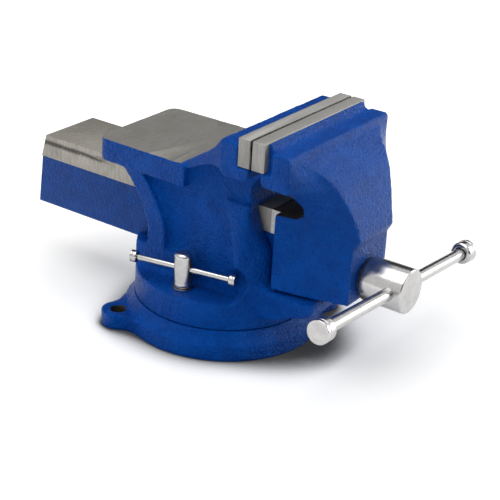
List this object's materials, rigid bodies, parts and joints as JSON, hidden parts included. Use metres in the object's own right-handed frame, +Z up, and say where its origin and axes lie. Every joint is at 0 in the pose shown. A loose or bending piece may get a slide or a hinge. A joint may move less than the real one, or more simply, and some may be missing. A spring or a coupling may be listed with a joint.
{
  "type": "swivel bench vise",
  "caption": "Bench vise with a sliding front jaw on a hollow beam, a screw with a sliding T handle, an anvil, and a swivel base clamped by lever nuts.",
  "frame": {"origin": "on the swivel axis, at the base's underside, which rests on the bench", "axes": "+Z up along the swivel axis; -Y towards the front of the vise, where the handle is; X across the jaws"},
  "size_m": [0.2066, 0.3141, 0.1708],
  "materials": {
    "blue_paint": "gloss",
    "ground_steel": "brushed",
    "dark_steel": "satin",
    "chrome": "polished",
    "nut_iron": "matte"
  },
  "bodies": {
    "base": {"swivel_base": "blue_paint"},
    "body": {"vise_body": "blue_paint", "rear_jaw_plate": "ground_steel", "rear_plate_screw_left": "dark_steel", "rear_plate_screw_right": "dark_steel", "spindle_nut": "nut_iron", "stem_washer": "dark_steel", "stem_nut": "dark_steel", "left_lock_bolt": "dark_steel", "left_lock_washer": "chrome", "right_lock_bolt": "dark_steel", "right_lock_washer": "chrome"},
    "jaw": {"sliding_jaw": "blue_paint", "front_jaw_plate": "ground_steel", "front_plate_screw_left": "dark_steel", "front_plate_screw_right": "dark_steel", "spindle_washer": "dark_steel"},
    "screw": {"spindle": "chrome", "retaining_collar": "dark_steel", "retaining_pin": "dark_steel"},
    "handle": {"handle_bar": "chrome", "handle_cap_left": "chrome", "handle_cap_right": "chrome"},
    "left_nut": {"left_lock_nut": "chrome"},
    "left_lever": {"left_lock_bar": "chrome", "left_lock_cap_front": "chrome", "left_lock_cap_rear": "chrome"},
    "right_nut": {"right_lock_nut": "chrome"},
    "right_lever": {"right_lock_bar": "chrome", "right_lock_cap_front": "chrome", "right_lock_cap_rear": "chrome"}
  },
  "joints": [
    {"name": "swivel", "type": "hinge", "parent": "base", "child": "body", "pos_m": [0, 0, 0.02], "axis": [0, 0, 1], "continuous": true},
    {"name": "jaw_slide", "type": "slide", "parent": "body", "child": "jaw", "axis": [0, -1, 0], "range_m": [0, 0.125]},
    {"name": "spindle_turn", "type": "hinge", "parent": "jaw", "child": "screw", "pos_m": [0, -0.12, 0.06974], "axis": [0, -1, 0], "range_deg": [0, 9000]},
    {"name": "handle_slide", "type": "slide", "parent": "screw", "child": "handle", "axis": [0.9972, 0, -0.075], "range_m": [-0.074, 0.075]},
    {"name": "left_nut_turn", "type": "hinge", "parent": "body", "child": "left_nut", "pos_m": [-0.0505, 0, 0.056], "axis": [0, 0, 1], "range_deg": [-18, 3]},
    {"name": "left_lever_slide", "type": "slide", "parent": "left_nut", "child": "left_lever", "axis": [0.196, -0.9806, 0], "range_m": [-0.029, 0]},
    {"name": "right_nut_turn", "type": "hinge", "parent": "body", "child": "right_nut", "pos_m": [0.0505, 0, 0.056], "axis": [0, 0, -1], "range_deg": [-18, 3]},
    {"name": "right_lever_slide", "type": "slide", "parent": "right_nut", "child": "right_lever", "axis": [-0.196, -0.9806, 0], "range_m": [-0.029, 0]}
  ],
  "couplings": [
    {"joint": "jaw_slide", "follows": "spindle_turn", "m_per_rad": 0.00079577}
  ]
}
